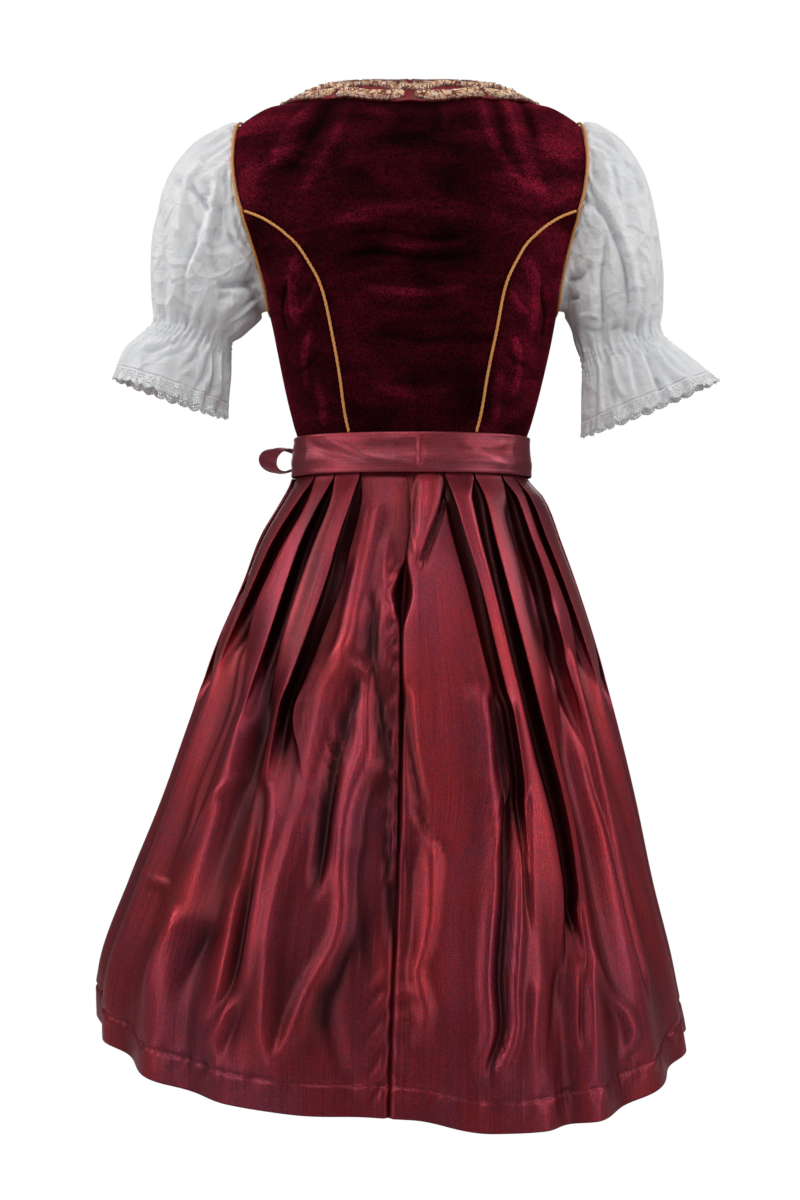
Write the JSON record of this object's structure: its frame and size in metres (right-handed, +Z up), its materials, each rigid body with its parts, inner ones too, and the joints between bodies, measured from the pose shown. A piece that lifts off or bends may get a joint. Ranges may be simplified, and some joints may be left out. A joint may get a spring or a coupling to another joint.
{
  "type": "dirndl with blouse and apron",
  "caption": "Dirndl in its worn, hollow form: velvet bodice with piped seams and pleated neck trim, pleated satin skirt, tied apron and puff-sleeved cotton blouse.",
  "frame": {"origin": "midpoint of the shoulder line, where the wearer carries the garment", "axes": "+Z up towards the neck, +X towards the wearer's left, -Y the way the wearer faces, so that +Y is behind the back"},
  "size_m": [0.6609, 0.5252, 1.0323],
  "materials": {
    "velvet": "dark burgundy cotton velvet with a short nap",
    "piping": "twisted gold-orange rayon cord",
    "brocade": "gold metallic brocade with red inside its pleats and small beads",
    "skirt_satin": "burgundy changeant satin with a strong sheen",
    "apron_satin": "two-tone burgundy and grey-purple changeant satin",
    "cotton": "white cotton, matt, finely creased",
    "lace": "white cotton lace"
  },
  "bodies": {
    "root": {"bodice_back_centre": "velvet", "bodice_back_side_left": "velvet", "bodice_back_side_right": "velvet", "bodice_front_left": "velvet", "bodice_front_right": "velvet", "piping_back_left": "piping", "piping_armhole_left": "piping", "piping_back_right": "piping", "piping_armhole_right": "piping", "neck_trim_back": "brocade", "neck_trim_left": "brocade", "neck_trim_right": "brocade", "skirt_back_left": "skirt_satin", "skirt_front": "skirt_satin", "skirt_back_right": "skirt_satin", "apron_band": "apron_satin", "apron_panel": "apron_satin", "bow_knot": "apron_satin", "bow_loop_side": "apron_satin", "bow_loop_front": "apron_satin", "bow_tail_side": "apron_satin", "bow_tail_front": "apron_satin", "blouse_front": "cotton", "blouse_back": "cotton", "sleeve_left": "cotton", "lace_left": "lace", "sleeve_right": "cotton", "lace_right": "lace"}
  },
  "joints": []
}
